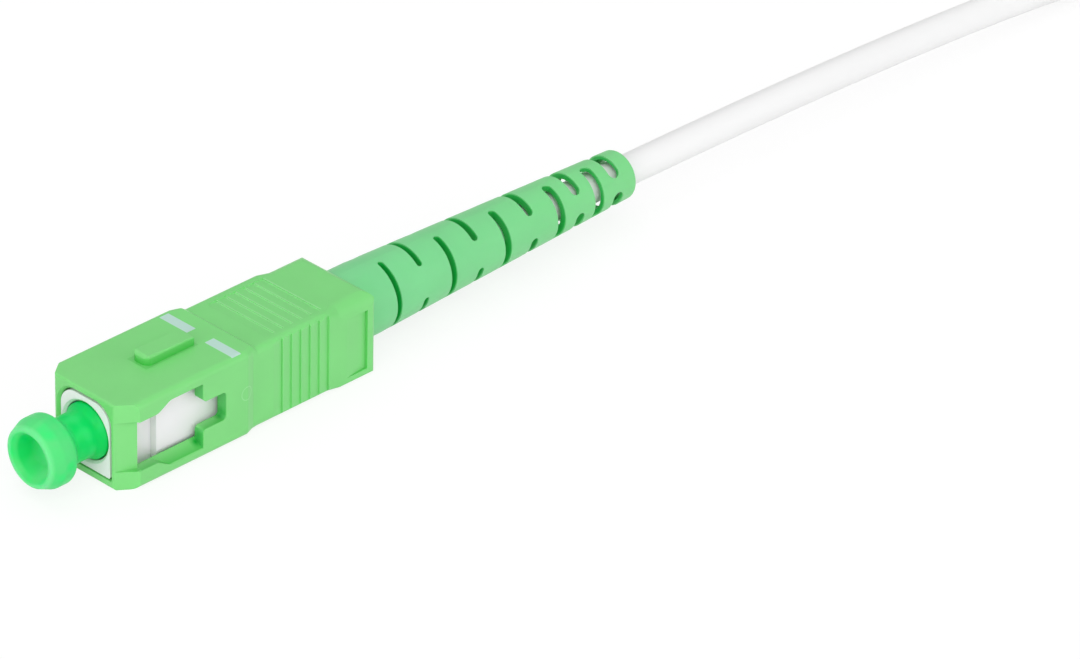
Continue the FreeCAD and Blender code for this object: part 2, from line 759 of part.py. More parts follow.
keep("grip_housing", grip_housing())
keep("plug_frame", plug_frame())
keep("ferrule", ferrule())
keep("optical_fibre", fibre())
keep("ferrule_flange", ferrule_flange())
keep("ferrule_spring", coil_spring(flange_back, stop_front))
keep("rear_body", rear_body())
keep("guide_tube", guide_tube())
keep("tight_buffer", rod(buffer_r, ferrule_end + 0.02, jacket_start - float_travel - 0.1))
keep("aramid_yarn", aramid_yarn())
keep("crimp_sleeve", crimp_sleeve())
keep("strain_relief_boot", strain_relief_boot())
keep("dust_cap", dust_cap())
keep("cable_lead", lead())
keep("cable_hank", cable_hank())
keep("hank_tie", hank_tie())
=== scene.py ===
# %% [markdown]
# # A green angled SC fibre connector on its lead
#
# The connector is a small push-pull plug. A green housing slides on a white inner frame, and
# the frame holds a ceramic ferrule, which a translucent green cap protects from dust. A tapered
# boot with staggered slots keeps the cable from bending sharply where it leaves the plug.
#
# The construction model comes in as a fixed frame. This script gives it its finishes, its
# printed marks and its small moulded details, and lays the free cable.

# %% Load the frame
import math

import bpy
import bmesh
from mathutils import Matrix, Vector


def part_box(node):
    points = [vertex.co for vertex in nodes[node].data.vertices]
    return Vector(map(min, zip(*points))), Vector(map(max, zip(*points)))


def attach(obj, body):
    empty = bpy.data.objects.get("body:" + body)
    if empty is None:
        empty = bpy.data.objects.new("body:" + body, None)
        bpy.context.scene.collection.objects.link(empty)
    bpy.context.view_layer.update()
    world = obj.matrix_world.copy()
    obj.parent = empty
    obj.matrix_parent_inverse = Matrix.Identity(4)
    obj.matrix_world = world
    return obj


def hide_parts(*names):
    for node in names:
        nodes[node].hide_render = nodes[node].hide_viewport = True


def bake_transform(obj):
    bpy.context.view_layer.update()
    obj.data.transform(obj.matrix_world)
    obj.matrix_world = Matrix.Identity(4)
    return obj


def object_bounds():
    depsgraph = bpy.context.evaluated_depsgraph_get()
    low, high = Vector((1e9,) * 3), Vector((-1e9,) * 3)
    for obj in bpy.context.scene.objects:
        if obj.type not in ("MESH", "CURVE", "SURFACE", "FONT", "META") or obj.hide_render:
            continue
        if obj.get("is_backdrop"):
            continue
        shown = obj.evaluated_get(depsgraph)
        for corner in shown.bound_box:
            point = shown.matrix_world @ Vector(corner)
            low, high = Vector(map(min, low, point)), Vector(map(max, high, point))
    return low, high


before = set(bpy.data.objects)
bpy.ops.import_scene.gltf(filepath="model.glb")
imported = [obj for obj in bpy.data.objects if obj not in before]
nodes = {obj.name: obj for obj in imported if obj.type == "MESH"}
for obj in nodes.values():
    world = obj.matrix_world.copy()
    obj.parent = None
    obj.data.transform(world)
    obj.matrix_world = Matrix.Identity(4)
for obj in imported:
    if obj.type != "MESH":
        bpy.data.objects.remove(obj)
cad_low, cad_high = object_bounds()
MM = 0.001


def in_mm(values, digits=2):
    """Lengths in millimetres, rounded for printing."""
    return [round(value / MM, digits) for value in values]


print("construction model, mm:", in_mm(cad_low), in_mm(cad_high))

# %% [markdown]
# ## Camera
#
# A small object looks natural through a long lens from some distance, because its parallel
# edges stay nearly parallel. The camera stands in front of the plug and to its near side, about
# thirty degrees up. It is aimed a little past the connector, so that no lens shift is needed.

# %% Camera
AZIMUTH = -43.88
ELEVATION = 30.74
ROLL = 0.37
DISTANCE = 580.67 * MM
LENS = 251.7
SENSOR_WIDTH = 36
VIEW_END = 10
TARGET = Vector((25.0 * MM, 0, 0))
AIM_RIGHT = 0.0282210
AIM_DOWN = 0.0019799


def place_camera():
    """A camera at the end of the sight line, turned off it a little.

    The two aim values are slopes: how far the view's centre moves sideways and down, as a share
    of the way to it.
    """
    turn, tilt = math.radians(AZIMUTH), math.radians(ELEVATION)
    back = Vector((math.sin(turn) * math.cos(tilt), -math.cos(turn) * math.cos(tilt),
                   math.sin(tilt)))
    right = Vector((math.cos(turn), math.sin(turn), 0))
    up = back.cross(right)
    rolled = Matrix.Rotation(math.radians(ROLL), 3, back)
    right, up = rolled @ right, rolled @ up
    ahead = (-back + AIM_RIGHT * right - AIM_DOWN * up).normalized()
    side = ahead.cross(up).normalized()
    over = side.cross(ahead)
    data = bpy.data.cameras.new("camera")
    data.lens = LENS
    data.sensor_width = SENSOR_WIDTH
    data.clip_end = VIEW_END
    camera = bpy.data.objects.new("camera", data)
    bpy.context.scene.collection.objects.link(camera)
    axes = Matrix((side, over, -ahead)).transposed()
    camera.matrix_world = Matrix.Translation(TARGET + back * DISTANCE) @ axes.to_4x4()
    bpy.context.scene.camera = camera
    return camera


camera = place_camera()
print("camera at, mm:", in_mm(camera.matrix_world.translation))

# %% [markdown]
# ## The free cable
#
# The cable is a jacketed simplex lead of one metre. Only its start lies in front of the camera.
# The rest is put away as such leads are stored: folded into a hank, drawn in at the middle and
# held by a strip. One spline carries the whole cable, because it is one cable. Its control
# points outside the hank are listed, and a loop works out the turns of the hank.

# %% Route of the cable
CABLE_D = 2.6 * MM
LEAD_ROUTE = [(26.0, 0.0, 0.0), (63.0, 0.0, 0.15), (100.2, -0.3, -0.9), (119.2, -1.5, -2.4)]
HANK_RUN = 46.0
HANK_X = LEAD_ROUTE[-1][0] + HANK_RUN / 2
HANK_Y = LEAD_ROUTE[-1][1] + 8.4
TURNS = 6
LAYER = 2.62
FOLD_R = 8.4
FOLD_SPREAD = 1.2
FOLD_RHYTHM = 2.4
FOLD_POINTS = 6
BULGE_X = 0.62
BULGE_Y = 0.86
RUN_CLIMB = 0.1
FOLD_CLIMB = 0.4
WAIST_X = 6.5
WAIST_Y = 1.14
TIE_LIFT = (0.4, 0.1)
ENTRY_LIFT = 0.5


def fold_radius(turn):
    """Neighbouring turns differ a little, as hand-wound turns do."""
    return FOLD_R + FOLD_SPREAD * (0.5 + 0.5 * math.sin(FOLD_RHYTHM * turn))


def entry_lift(number):
    """The folds that pass over the incoming lead are raised by it, the lowest one most."""
    return ENTRY_LIFT * (1 - number / (2 * TURNS)) if number % 2 else 0


def half_turn(number):
    """Control points of one run and of the fold that ends it, climbing by half a layer.

    A run bulges out on both sides of its waist. The tie draws it in there, and the lowest runs
    lie on the tie's bottom.
    """
    way = 1 if number % 2 == 0 else -1
    radius = fold_radius(number)
    low = LEAD_ROUTE[-1][2] + LAYER * number / 2
    half = HANK_RUN / 2
    share = number / (2 * TURNS - 1)
    lift = TIE_LIFT[0] + share * (TIE_LIFT[1] - TIE_LIFT[0])
    wide = BULGE_Y * radius
    before = entry_lift(number - 1) if number else 0
    run = [(-BULGE_X * half, wide, before), (-WAIST_X, WAIST_Y, lift),
           (WAIST_X, WAIST_Y, lift), (BULGE_X * half, wide, 0)]
    points = []
    for index, (along, out, up) in enumerate(run):
        points.append((along, -out, low + up + RUN_CLIMB * LAYER * index / len(run)))
    # the control points of a fold lie outside its curve by this factor
    outside = radius / math.cos(math.pi / FOLD_POINTS / 2)
    for index in range(FOLD_POINTS):
        angle = math.pi * (index + 0.5) / FOLD_POINTS - math.pi / 2
        rise = RUN_CLIMB + FOLD_CLIMB * (index + 0.5) / FOLD_POINTS
        raised = entry_lift(number) * index / (FOLD_POINTS - 1)
        points.append((half + outside * math.cos(angle), outside * math.sin(angle),
                       low + LAYER * rise + raised))
    return [(HANK_X + way * x, HANK_Y + way * y, z) for x, y, z in points]


def cable_points():
    """The listed lead, then all half turns; the last fold is left out."""
    points = list(LEAD_ROUTE)
    for number in range(2 * TURNS):
        turn = half_turn(number)
        points += turn if number < 2 * TURNS - 1 else turn[:4]
    return points


points = cable_points()
print("cable control points:", len(points), "hank centre, mm:", HANK_X, round(HANK_Y, 2))

# %% [markdown]
# A NURBS curve of order 3 runs close to its control points and is smooth all along, like a
# flexible cable. Its round section comes from the curve's bevel. Blender adds each point's
# radius to the curve's bounding box, so the points get a small one, and the bevel makes up for
# it.

# %% Cable curve
POINT_RADIUS = MM


def cable_curve(points, radius):
    data = bpy.data.curves.new("cable", "CURVE")
    data.dimensions = "3D"
    spline = data.splines.new("NURBS")
    spline.points.add(len(points) - 1)
    for spot, (x, y, z) in zip(spline.points, points):
        spot.co = (x * MM, y * MM, z * MM, 1)
        spot.radius = POINT_RADIUS
    spline.order_u = 3
    spline.use_endpoint_u = True
    spline.resolution_u = 8
    data.bevel_depth = radius / POINT_RADIUS
    data.bevel_resolution = 5
    data.use_fill_caps = True
    cable = bpy.data.objects.new("cable", data)
    bpy.context.scene.collection.objects.link(cable)
    return cable


cable = cable_curve(points, CABLE_D / 2)
print("cable diameter, mm:", CABLE_D / MM)

# %% [markdown]
# ## The strip round the hank
#
# The hank is held by a strip of hook-and-loop tape that laps over itself. A real strip is a
# flat ribbon bent round the bundle, so it is made in that way here: one short edge is extruded
# from corner to corner of its path, and the ribbon then gets its thickness. It lies round the
# wound turns, which are a little wider at the waist than the plain solid of the hank.

# %% Tie strip
TIE_THICK = 0.4
TIE_CORNER = 1.0
CORNER_STEPS = 6
TIE_START = 0.35
TIE_LAP = (0.15, 0.4, 0.6, 0.75)
TIE_EDGE = 0.08
TIE_WIDER = 0.25
TIE_HIGHER = 0.2
SMOOTH_BELOW = math.radians(40)


def tie_path(low, high):
    """Middle line of the strip in Y and Z, from the inner end to the lapping outer end."""
    near, far = low.y + TIE_THICK * MM / 2, high.y - TIE_THICK * MM / 2
    floor, top = low.z + TIE_THICK * MM / 2, high.z - TIE_THICK * MM / 2
    lap = near - TIE_THICK * MM
    corners = [(near, top, 90), (far, top, 0), (far, floor, -90), (near, floor, -180)]
    path = [(near, floor + TIE_START * (top - floor))]
    for y, z, turn in corners:
        middle_y = y + math.copysign(TIE_CORNER * MM, (near + far) / 2 - y)
        middle_z = z + math.copysign(TIE_CORNER * MM, (floor + top) / 2 - z)
        for step in range(CORNER_STEPS + 1):
            angle = math.radians(turn + 90 - 90 / CORNER_STEPS * step)
            path.append((middle_y + TIE_CORNER * MM * math.cos(angle),
                         middle_z + TIE_CORNER * MM * math.sin(angle)))
    return path + [(lap, floor + share * (top - floor)) for share in TIE_LAP]


def face_outwards(fill_ends=False):
    """Turns the active mesh's faces outwards and smooths them, but keeps its edges."""
    bpy.ops.object.mode_set(mode="EDIT")
    bpy.ops.mesh.select_all(action="SELECT")
    if fill_ends:
        bpy.ops.mesh.fill_holes(sides=0)
    bpy.ops.mesh.normals_make_consistent(inside=False)
    bpy.ops.object.mode_set(mode="OBJECT")
    bpy.ops.object.shade_smooth_by_angle(angle=SMOOTH_BELOW)


def tie_strip():
    low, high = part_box("hank_tie")
    low.y -= TIE_WIDER * MM
    high.y += TIE_WIDER * MM
    high.z += TIE_HIGHER * MM
    path = tie_path(low, high)
    bpy.ops.object.select_all(action="DESELECT")
    bpy.ops.mesh.primitive_plane_add(size=high.x - low.x)
    strip = bpy.context.object
    strip.name = "tie_strip"
    bpy.ops.object.mode_set(mode="EDIT")
    bpy.ops.mesh.select_all(action="SELECT")
    bpy.ops.mesh.delete(type="ONLY_FACE")
    mesh = bmesh.from_edit_mesh(strip.data)
    bmesh.ops.delete(mesh, geom=[v for v in mesh.verts if v.co.y > 0], context="VERTS")
    for vertex in mesh.verts:
        vertex.select = True
    mesh.select_flush(True)
    bmesh.update_edit_mesh(strip.data)
    start = Vector(((low.x + high.x) / 2, path[0][0] + (high.x - low.x) / 2, path[0][1]))
    bpy.ops.transform.translate(value=start)
    for (y, z), (next_y, next_z) in zip(path, path[1:]):
        bpy.ops.mesh.extrude_region_move(
            TRANSFORM_OT_translate={"value": (0, next_y - y, next_z - z)})
    bpy.ops.object.mode_set(mode="OBJECT")
    solid = strip.modifiers.new("thickness", "SOLIDIFY")
    solid.thickness = TIE_THICK * MM
    solid.offset = 0
    bpy.ops.object.modifier_apply(modifier="thickness")
    rounding = strip.modifiers.new("edges", "BEVEL")
    rounding.width = TIE_EDGE * MM
    rounding.segments = 2
    rounding.limit_method = "ANGLE"
    bpy.ops.object.modifier_apply(modifier="edges")
    face_outwards()
    return strip


tie = tie_strip()
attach(tie, "plug")
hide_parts("hank_tie")
tie_low, tie_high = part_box("hank_tie")
print("solid that the strip replaces, mm:", in_mm(tie_low), in_mm(tie_high))

# %% [markdown]
# The cable and its strip are now given their place in the model.

# %% Cable's place in the model
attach(cable, "plug")
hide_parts("cable_lead", "cable_hank")
print("the cable leaves the crimp at, mm:", in_mm((26.0 * MM, 0, 0)))

# %% [markdown]
# ## The ferrule's spring
#
# A compression spring presses the ferrule forward. It rests on the rear body and on the
# ferrule's flange, so when the ferrule floats back, its front end has to move with it. A wire
# section is wound into a coil by the Screw modifier.

# %% Return spring
WIRE_R = 0.2
WIRE_SIDES = 12
COIL_TURNS = 5
STEPS_PER_TURN = 32


def return_spring():
    low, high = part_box("ferrule_spring")
    mean_r = high.z - WIRE_R * MM
    pitch = (high.x - low.x - 2 * WIRE_R * MM) / COIL_TURNS
    bpy.ops.object.select_all(action="DESELECT")
    bpy.ops.mesh.primitive_circle_add(vertices=WIRE_SIDES, radius=WIRE_R * MM)
    coil = bpy.context.object
    coil.name = "return_spring"
    bpy.ops.object.mode_set(mode="EDIT")
    bpy.ops.mesh.select_all(action="SELECT")
    bpy.ops.transform.translate(value=(low.x + WIRE_R * MM, mean_r, 0))
    bpy.ops.object.mode_set(mode="OBJECT")
    winding = coil.modifiers.new("winding", "SCREW")
    winding.axis = "X"
    winding.screw_offset = pitch
    winding.iterations = COIL_TURNS
    winding.steps = winding.render_steps = STEPS_PER_TURN
    bpy.ops.object.modifier_apply(modifier="winding")
    face_outwards(fill_ends=True)
    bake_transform(coil)
    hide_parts("ferrule_spring")
    return coil


spring = return_spring()
spots = [v.co for v in spring.data.vertices]
print("spring, mm:", in_mm(min(c[i] for c in spots) for i in range(3)),
      in_mm(max(c[i] for c in spots) for i in range(3)))

# %% [markdown]
# ## Helpers for materials
#
# Each finish below is a small graph of shader nodes that ends in one Principled BSDF. These
# helpers keep the graphs short. A number that is the same all over a surface is set on the
# shader's own socket, and only what changes over the surface is linked.

# %% Node helpers
def add_node(tree, kind, values=(), **settings):
    """Adds a shader node, sets its properties, then its input values by name or number."""
    node = tree.nodes.new(kind)
    for name, value in settings.items():
        setattr(node, name, value)
    for name, value in dict(values).items():
        node.inputs[name].default_value = value
    return node


def maths(tree, operation, first, second=None, third=None):
    """A Math node whose inputs are numbers or sockets; gives its output socket."""
    node = add_node(tree, "ShaderNodeMath", operation=operation)
    for socket, value in zip(node.inputs, (first, second, third)):
        if isinstance(value, (int, float)):
            socket.default_value = value
        elif value is not None:
            tree.links.new(value, socket)
    return node.outputs[0]


def start_material(name, roughness, **sockets):
    """A new material, its node tree and its shader, with the plain values set."""
    material = bpy.data.materials.new(name)
    material.use_nodes = True
    tree = material.node_tree
    shader = tree.nodes["Principled BSDF"]
    shader.inputs["Roughness"].default_value = roughness
    for socket, value in sockets.items():
        shader.inputs[socket.replace("_", " ")].default_value = value
    return material, tree, shader


def ramp(tree, value, start, end, low=0.0, high=1.0):
    """Runs from low to high while value runs from start to end, and stays there beyond."""
    node = add_node(tree, "ShaderNodeMapRange",
                    {"From Min": start, "From Max": end, "To Min": low, "To Max": high})
    tree.links.new(value, node.inputs["Value"])
    return node.outputs["Result"]


def add_relief(tree, shader, height, strength, distance=0.1 * MM):
    """Lets a height change the direction in which the surface seems to face."""
    relief = add_node(tree, "ShaderNodeBump", {"Strength": strength, "Distance": distance})
    tree.links.new(height, relief.inputs["Height"])
    tree.links.new(relief.outputs["Normal"], shader.inputs["Normal"])


def object_place(tree, scale=None):
    """Object coordinates; a small scale on an axis draws a pattern out along it."""
    place = add_node(tree, "ShaderNodeTexCoord").outputs["Object"]
    if scale is None:
        return place
    draw = add_node(tree, "ShaderNodeMapping", {"Scale": scale})
    tree.links.new(place, draw.inputs["Vector"])
    return draw.outputs["Vector"]


def finish_node(material, *names):
    """Gives construction nodes their finish, through their objects' own material slots."""
    for name in names:
        for slot in nodes[name].material_slots:
            slot.material = material
    print(material.name, "on", ", ".join(names))


# %% [markdown]
# ## A shared group: moulded plastic
#
# Injection moulded plastic is never perfectly even. Its gloss wanders slowly where the melt
# flowed and cooled, and the mould's own polish leaves a very fine grain. Several pieces here
# are moulded, so this effect is a node group, built once and used with different strengths.

# %% Moulded surface group
FLOW_SCALE = 260.0
GRAIN_SCALE = 9000.0
FLOW_SHADE = 0.12
FLOW_RELIEF = 0.3


def moulded_group():
    group = bpy.data.node_groups.new("moulded_surface", "ShaderNodeTree")
    face = group.interface
    face.new_socket("Vector", in_out="INPUT", socket_type="NodeSocketVector")
    for name in ("Flow", "Grain", "Roughness"):
        face.new_socket(name, in_out="INPUT", socket_type="NodeSocketFloat")
    for name in ("Roughness", "Height", "Shade"):
        face.new_socket(name, in_out="OUTPUT", socket_type="NodeSocketFloat")
    inside = add_node(group, "NodeGroupInput")
    outside = add_node(group, "NodeGroupOutput")
    slow = add_node(group, "ShaderNodeTexNoise", {"Scale": FLOW_SCALE, "Detail": 3.0})
    fine = add_node(group, "ShaderNodeTexNoise", {"Scale": GRAIN_SCALE, "Detail": 2.0})
    group.links.new(inside.outputs["Vector"], slow.inputs["Vector"])
    group.links.new(inside.outputs["Vector"], fine.inputs["Vector"])
    wander = maths(group, "SUBTRACT", slow.outputs["Fac"], 0.5)
    change = maths(group, "MULTIPLY", wander, inside.outputs["Flow"])
    gloss = maths(group, "ADD", change, inside.outputs["Roughness"])
    grain = maths(group, "MULTIPLY", fine.outputs["Fac"], inside.outputs["Grain"])
    height = maths(group, "MULTIPLY_ADD", slow.outputs["Fac"], FLOW_RELIEF, grain)
    shade = maths(group, "MULTIPLY_ADD", wander, FLOW_SHADE, 1.0)
    for name, value in (("Roughness", gloss), ("Height", height), ("Shade", shade)):
        group.links.new(value, outside.inputs[name])
    return group


moulded = moulded_group()
print("shared group:", moulded.name, "with", len(moulded.nodes), "nodes")


def add_moulded(tree, shader, roughness, flow, grain, bump, scale=None):
    """Places the group, links its gloss and its relief, and gives the place and the group."""
    place = object_place(tree, scale)
    skin = add_node(tree, "ShaderNodeGroup",
                    {"Flow": flow, "Grain": grain, "Roughness": roughness}, node_tree=moulded)
    tree.links.new(place, skin.inputs["Vector"])
    tree.links.new(skin.outputs["Roughness"], shader.inputs["Roughness"])
    add_relief(tree, shader, skin.outputs["Height"], bump)
    return place, skin


def tinted(tree, skin, color):
    """The colour, a touch lighter and darker with the flow of the moulding."""
    mix = add_node(tree, "ShaderNodeVectorMath", operation="SCALE")
    if isinstance(color, tuple):
        mix.inputs[0].default_value = color
    else:
        tree.links.new(color, mix.inputs[0])
    tree.links.new(skin.outputs["Shade"], mix.inputs["Scale"])
    return mix.outputs[0]


# %% [markdown]
# ## Masks from places
#
# Printed marks and moulded walls have straight outlines, so a mask on object coordinates can
# follow them: it is 1 inside a box and 0 outside. The helpers below build such masks from Math
# nodes, with ranges in millimetres. The box is mirrored across the connector's middle planes
# where the ranges are of distances from them.

# %% Mask helpers
def range_mask(tree, value, low, high, soft=0.03):
    """1 where value lies between low and high, in mm, fading over soft."""
    middle, half = (low + high) / 2 * MM, (high - low) / 2 * MM
    away = maths(tree, "ABSOLUTE", maths(tree, "SUBTRACT", value, middle))
    inner = maths(tree, "DIVIDE", maths(tree, "SUBTRACT", half, away), soft * MM)
    return maths(tree, "MAXIMUM", maths(tree, "MINIMUM", inner, 1.0), 0.0)


def box_mask(tree, values, ranges, soft=0.03):
    """The product of the range masks of several values."""
    mask = 1.0
    for value, (low, high) in zip(values, ranges):
        mask = maths(tree, "MULTIPLY", range_mask(tree, value, low, high, soft), mask)
    return mask


def union(tree, masks):
    """The largest of several masks."""
    whole = masks[0]
    for mask in masks[1:]:
        whole = maths(tree, "MAXIMUM", whole, mask)
    return whole


def object_axes(tree, place):
    """X, Y and Z in the object's own space."""
    parts = add_node(tree, "ShaderNodeSeparateXYZ")
    tree.links.new(place, parts.inputs[0])
    return parts.outputs


def from_axis(tree, y, z):
    """Distance from the connector's axis."""
    return maths(tree, "SQRT", maths(tree, "MULTIPLY_ADD", y, y, maths(tree, "MULTIPLY", z, z)))


def blend_colors(tree, mask, first, second):
    """Mixes two colours, each a tuple or a socket, by a mask."""
    mix = add_node(tree, "ShaderNodeMix", data_type="RGBA")
    tree.links.new(mask, mix.inputs["Factor"])
    for name, color in (("A", first), ("B", second)):
        if isinstance(color, tuple):
            mix.inputs[name].default_value = (*color, 1)
        else:
            tree.links.new(color, mix.inputs[name])
    return mix.outputs["Result"]


# %% [markdown]
# ## Green housing
#
# The housing is a stiff, fairly glossy plastic in the green that marks an angled connector.
# Light that enters a window or a narrow recess bounces from green to green, so the walls there
# look a deeper, purer green than the faces, and so does the foot of the key. The ribs' crests
# and ends and the step behind the nose look lighter. Masks paint these shades into the colour,
# so they stay with the piece under any light. The two index bars are pale ink, pad printed on
# top, and a small ring is left by an ejector pin.

# %% Housing's inner walls
EDGE = (-1, 3.2)


def inner_walls(tree, x, y, z, out, high):
    """Window and channel walls, the cavity, the bore, and the steep walls of the scoop."""
    place = (x, out, high)
    scoop = (x, out, z)
    return union(tree, [
        box_mask(tree, place, ((1.67, 12.45), (-1, 4.43), (-1, 3.0))),
        box_mask(tree, place, ((0.0, 1.67), EDGE, (-1, 3.15))),
        box_mask(tree, place, ((0.1, 1.67), (3.2, 4.3), (2.13, 2.17)), 0.005),
        box_mask(tree, place, ((12.45, 21.4), (-1, 3.85), (-1, 3.0))),
        box_mask(tree, (x, from_axis(tree, y, z)), ((21.0, 26.15), EDGE)),
        box_mask(tree, scoop, ((25.27, 25.34), (3.85, 4.17), (-3.1, 2.1)), 0.01),
        box_mask(tree, scoop, ((23.4, 25.34), (3.85, 4.17), (-3.13, -3.07)), 0.01),
    ])


def painted_wall_shade(tree, x, z, out):
    """Painted shade: ledges are lighter further in; walls that face the front are darker, most at
    corners.
    """
    inward = ramp(tree, out, 4.4 * MM, 3.7 * MM)
    ledge = blend_colors(tree, inward, (0.07, 0.53, 0.08), (0.19, 0.67, 0.19))
    rear = union(tree, [range_mask(tree, x, 7.75, 8.0, 0.05), range_mask(tree, x, 9.95, 10.5, 0.1)])
    wall = blend_colors(tree, rear, ledge, (0.08, 0.52, 0.11))
    corners = union(tree, [
        box_mask(tree, (x, z, out), ((7.1, 8.2), (-3.4, -1.3), (3.3, 4.4)), 0.5),
        box_mask(tree, (x, z, out), ((9.6, 10.6), (-1.8, -0.2), (3.3, 4.4)), 0.5),
    ])
    return blend_colors(tree, corners, wall, (0.0, 0.38, 0.03))

# %% [markdown]
# The finger ribs repeat at one pitch, so their mask takes the fraction of the distance from the
# first rib, counted in pitches. The key and the steps each have a box of their own.

# %% Ribs, steps and key
RIBS_X, RIB_START, RIB_PITCH, RIB_CREST = (16.2, 21.45), 16.28, 0.97, (-0.05, 0.25)
KEY_X, KEY_OUT, KEY_Z = (5.2, 10.6), (-1, 1.1), (3.68, 4.3)
KEY_FOOT, KEY_TOP_SHADE = 3.65, 0.45
CREST_HIGHLIGHT_SHARE, STEP_LIGHT_SHARE, RIB_END_LIGHT_SHARE = 0.3, 0.3, 0.45


def rib_crest_highlights(tree, x, out, z):
    """A painted highlight on the crest of each finger rib on top."""
    along = maths(tree, "DIVIDE", maths(tree, "SUBTRACT", x, RIB_START * MM), RIB_PITCH * MM)
    step = maths(tree, "MULTIPLY", maths(tree, "FRACT", along), MM)
    crest = range_mask(tree, step, RIB_CREST[0], RIB_CREST[1], 0.06)
    ribs = box_mask(tree, (x, out, z), (RIBS_X, EDGE, (3.0, 4)))
    return maths(tree, "MULTIPLY", maths(tree, "MULTIPLY", crest, ribs), CREST_HIGHLIGHT_SHARE)


def painted_step_light(tree, x, out, z):
    """Painted light on the step behind the nose and on the ends of the ribs on top."""
    behind_nose = box_mask(tree, (x, out, z), ((13.27, 13.73), (-1, 3.5), (3.3, 3.72)), 0.2)
    rib_ends = box_mask(tree, (x, out, z), ((15.2, 21.4), (3.2, 3.3), (3.2, 3.37)))
    return union(tree, [maths(tree, "MULTIPLY", behind_nose, STEP_LIGHT_SHARE),
                        maths(tree, "MULTIPLY", rib_ends, RIB_END_LIGHT_SHARE)])


def key_wall_shade(tree, x, out, z):
    """Painted shade on the walls of the key on top, deepest where they meet the nose."""
    up = ramp(tree, z, KEY_FOOT * MM, KEY_Z[1] * MM, 1.0, KEY_TOP_SHADE)
    key = box_mask(tree, (x, out, z), (KEY_X, KEY_OUT, KEY_Z), 0.06)
    return maths(tree, "MULTIPLY", key, up)


print("length of the key, mm:", round(KEY_X[1] - KEY_X[0], 2))

# %% [markdown]
# The ink of the index bars lies flat on the plastic, so a mask on the top face is enough for
# it. The pin's ring is as shallow, and is only a change of shade.

# %% Printed bars and pin mark
BARS_X, BARS_Y, BARS_HIGH = (11.1, 12.05), ((-4.2, -1.15), (0.8, 3.9)), (3.3, 4)
RING_X, RING_Z, RING_R, RING_OUT = 12.4, 0.15, (0.5, 0.62), (4.2, 4.6)
RING_SHARE = 0.3


def printed_bars(tree, x, y, high):
    """The two index bars on top, which are not quite the same length."""
    return union(tree, [box_mask(tree, (x, y, high), (BARS_X, side, BARS_HIGH))
                        for side in BARS_Y])


def ejector_ring(tree, x, z, out):
    """A faint ring on each side of the housing."""
    along = maths(tree, "SUBTRACT", x, RING_X * MM)
    up = maths(tree, "SUBTRACT", z, RING_Z * MM)
    ring = range_mask(tree, from_axis(tree, along, up), RING_R[0], RING_R[1], 0.04)
    side = range_mask(tree, out, RING_OUT[0], RING_OUT[1])
    return maths(tree, "MULTIPLY", maths(tree, "MULTIPLY", ring, side), RING_SHARE)


print("lengths of the printed bars, mm:", [round(high - low, 2) for low, high in BARS_Y])

# %% [markdown]
# The material puts the masks one over another, from the faces to the ink on top of all.

# %% Housing material
HOUSING_GREEN = (0.2, 0.68, 0.2)
CREST_HIGHLIGHT_GREEN = (0.5, 0.9, 0.5)
STEP_LIGHT_GREEN = (0.42, 0.92, 0.42)
RING_GREEN = (0.5, 0.85, 0.5)
KEY_SHADE_GREEN = (0.04, 0.5, 0.05)
BAR_INK = (0.49, 0.72, 0.64)


def housing_material():
    material, tree, shader = start_material(
        "green_housing", 0.3, IOR=1.5, Subsurface_Weight=0.12,
        Subsurface_Radius=(0.25, 1.0, 0.3), Subsurface_Scale=0.0007, Coat_Roughness=0.2)
    place, skin = add_moulded(tree, shader, 0.34, flow=0.14, grain=0.35, bump=0.05)
    x, y, z = object_axes(tree, place)
    out, high = maths(tree, "ABSOLUTE", y), maths(tree, "ABSOLUTE", z)
    # Painted shade on the inner walls of windows, channels, cavity, bore and scoop.
    color = blend_colors(tree, inner_walls(tree, x, y, z, out, high), HOUSING_GREEN,
                         painted_wall_shade(tree, x, z, out))
    # A painted highlight on the rib crests, painted light on the low steps, the pin's faint ring,
    # and painted shade on the key's walls.
    for mask, shade in ((rib_crest_highlights(tree, x, out, z), CREST_HIGHLIGHT_GREEN),
                        (painted_step_light(tree, x, out, z), STEP_LIGHT_GREEN),
                        (ejector_ring(tree, x, z, out), RING_GREEN),
                        (key_wall_shade(tree, x, out, z), KEY_SHADE_GREEN)):
        color = blend_colors(tree, mask, color, shade)
    color = blend_colors(tree, printed_bars(tree, x, y, high), tinted(tree, skin, color), BAR_INK)
    tree.links.new(color, shader.inputs["Base Color"])
    return material


finish_node(housing_material(), "grip_housing")

# %% [markdown]
# ## Boot
#
# The boot is a softer, rubbery plastic in a slightly bluer green. The walls of its slots and
# its bore see little light from outside, and what they see has been green already, so they are
# dark and pure. A mask compares each point's distance from the axis with the boot's own taper.

# %% Boot material
BOOT_TAPER = (28.5, 57.05)
BOOT_RADII = (3.05, 2.07)
BOOT_PLAIN = 8
FACE_GREENS = ((0.195, 0.67, 0.28), (0.205, 0.68, 0.255))
SLOT_GREENS = ((0.003, 0.5, 0.07), (0.03, 0.5, 0.09))


